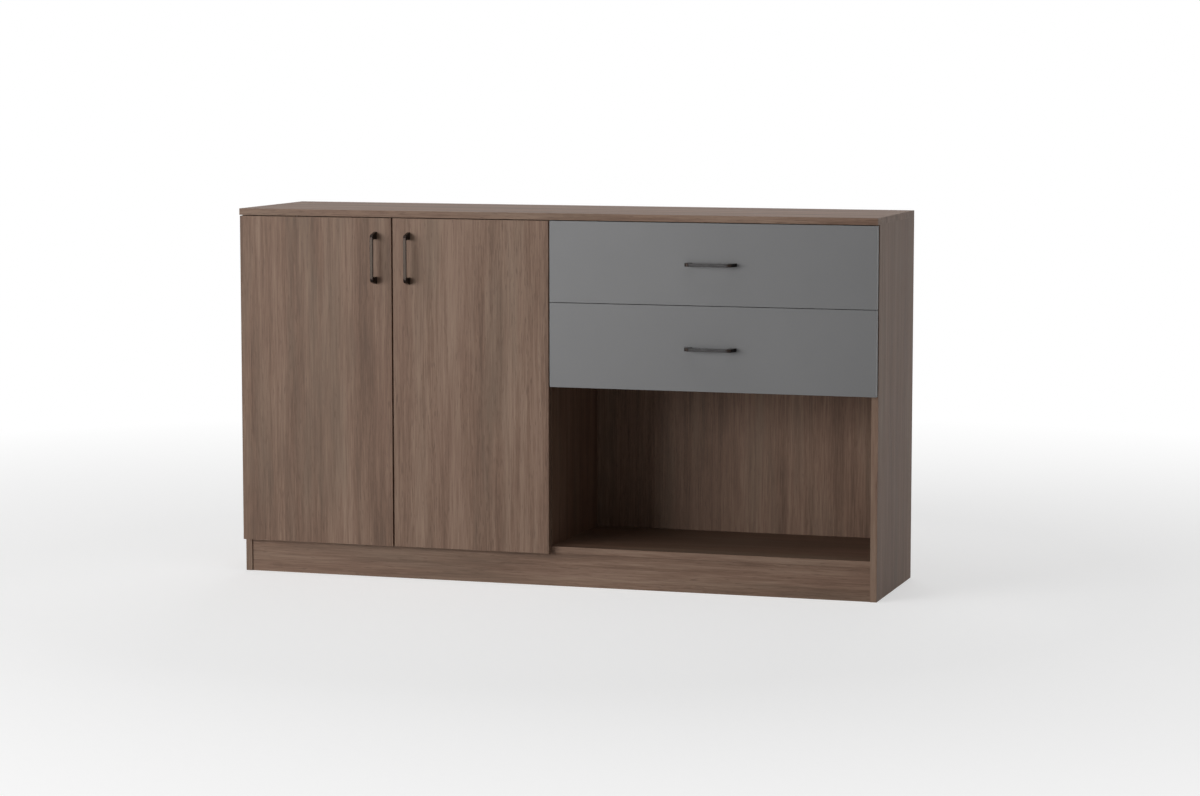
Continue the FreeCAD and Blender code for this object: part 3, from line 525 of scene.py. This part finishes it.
def makeMetal(name, finish):
    material, tree, shader = newMaterial(name)
    point = coordinates(tree)
    clouds = noise(tree, point, bareMetal["cloudsPerMetre"], 3.0)
    along = stretched(tree, point, alongY, bareMetal["scratchStretch"])
    scratches = noise(tree, along, finish["scratchesPerMetre"])
    tone = weighted(tree, clouds, 0.5, scratches, 0.5)
    colour = colourRamp(tree, tone, [(noiseLow, finish["low"]), (noiseHigh, finish["high"])])
    wearAndSheen, rounded = wearAndSheenEdges(tree, bareMetal["edgeRadius"])
    wornShiny = paler(finish["high"], bareMetal["wornShinyPaler"])
    colour = mixColours(tree, maths(tree, "MULTIPLY", wearAndSheen, bareMetal["wearAndSheen"]), colour, wornShiny)
    feed(tree, shader.inputs["Base Color"], colour)
    shader.inputs["Metallic"].default_value = 1.0
    rough = remap(tree, clouds, noiseLow, noiseHigh, *finish["roughness"])
    feed(tree, shader.inputs["Roughness"], rough)
    relief = bumped(tree, scratches, bareMetal["depth"], bareMetal["strength"], rounded)
    feed(tree, shader.inputs["Normal"], relief)
    for pieceName in finish["pieces"]:
        dress(pieceName, material)


makeMetal("hingeNickel", hingeNickel)
makeMetal("slideZinc", slideZinc)
makeMetal("screwSteel", screwSteel)
makeMetal("camZinc", camZinc)
print("hinges, slides and fittings dressed")


# one handle metal in two copies: on the doors it is darkened and tinted brown, painted shade and a painted
# reflection of the wood; on the drawers it is grey, a painted reflection of the grey fronts
doorHandle = {
    "axis": alongZ, "grip": (0.022, 0.0172, 0.0142), "brushed": (0.034, 0.027, 0.0225),
    "pieces": ["left_door_handle", "right_door_handle"],
}
drawerHandle = {
    "axis": alongX, "grip": (0.042, 0.0405, 0.041), "brushed": (0.062, 0.060, 0.0605),
    "pieces": ["upper_drawer_handle", "lower_drawer_handle"],
}
darkNickel = {
    # the darker colour on both legs is painted dark reflection and painted shade; the metal is one finish
    # all along
    "leg": (0.022, 0.0165, 0.0145),
    "wornShiny": (0.075, 0.066, 0.058),
    "roughness": (0.19, 0.32),
    "gripEnds": (0.338, 0.388),  # share of the length, from the middle, where the grip turns into a leg
    "brushPerMetre": 1800.0, "brushStretch": 40.0, "brushTones": (0.35, 0.65),
    "edgeRadius": 0.0008, "wearAndSheen": 0.35,
    "depth": 0.00003, "strength": 0.4,
}


def makeHandleMetal(name, handle):
    material, tree, shader = newMaterial(name)
    axis = handle["axis"]
    share = splitVector(tree, coordinates(tree, "Generated"))[axis]
    fromMiddle = maths(tree, "ABSOLUTE", maths(tree, "SUBTRACT", share, 0.5))
    # mask for the painted dark reflection and shade on the legs, by share of the length
    leg = remap(tree, fromMiddle, *darkNickel["gripEnds"], 0.0, 1.0)
    along = stretched(tree, coordinates(tree), axis, darkNickel["brushStretch"])
    brush = noise(tree, along, darkNickel["brushPerMetre"])
    brushed = remap(tree, brush, *darkNickel["brushTones"], 0.0, 1.0)
    colour = mixColours(tree, brushed, (*handle["grip"], 1.0), (*handle["brushed"], 1.0))
    colour = mixColours(tree, leg, colour, (*darkNickel["leg"], 1.0))
    wearAndSheen, rounded = wearAndSheenEdges(tree, darkNickel["edgeRadius"])
    wornShiny = (*darkNickel["wornShiny"], 1.0)
    colour = mixColours(tree, maths(tree, "MULTIPLY", wearAndSheen, darkNickel["wearAndSheen"]), colour, wornShiny)
    feed(tree, shader.inputs["Base Color"], colour)
    shader.inputs["Metallic"].default_value = 1.0
    rough = remap(tree, brush, noiseLow, noiseHigh, *darkNickel["roughness"])
    feed(tree, shader.inputs["Roughness"], rough)
    relief = bumped(tree, brush, darkNickel["depth"], darkNickel["strength"], rounded)
    feed(tree, shader.inputs["Normal"], relief)
    for pieceName in handle["pieces"]:
        dress(pieceName, material)


makeHandleMetal("doorHandle", doorHandle)
makeHandleMetal("drawerHandle", drawerHandle)
print("handles dressed")


dowelBeech = {
    "low": (0.48, 0.32, 0.18), "high": (0.68, 0.50, 0.32), "grainPerMetre": 700.0, "detail": 3.0,
    "roughness": 0.7, "clear": 0.0, "depth": 0.0001, "strength": 0.5,
    "pieces": ["dowels"],
}
bumperRubber = {
    "low": (0.66, 0.66, 0.62), "high": (0.80, 0.80, 0.77), "grainPerMetre": 400.0, "detail": 2.0,
    "roughness": 0.3, "clear": 0.4, "depth": 0.00005, "strength": 0.3,
    "pieces": ["left_door_bumpers", "right_door_bumpers"],
}


def makeSmallPart(name, finish):
    material, tree, shader = newMaterial(name)
    grain = noise(tree, coordinates(tree), finish["grainPerMetre"], finish["detail"])
    colour = colourRamp(tree, grain, [(noiseLow, finish["low"]), (noiseHigh, finish["high"])])
    feed(tree, shader.inputs["Base Color"], colour)
    shader.inputs["Roughness"].default_value = finish["roughness"]
    shader.inputs["Transmission Weight"].default_value = finish["clear"]
    feed(tree, shader.inputs["Normal"], bumped(tree, grain, finish["depth"], finish["strength"]))
    for pieceName in finish["pieces"]:
        dress(pieceName, material)


makeSmallPart("dowelBeech", dowelBeech)
makeSmallPart("bumperRubber", bumperRubber)
print("dowels and bumpers dressed")
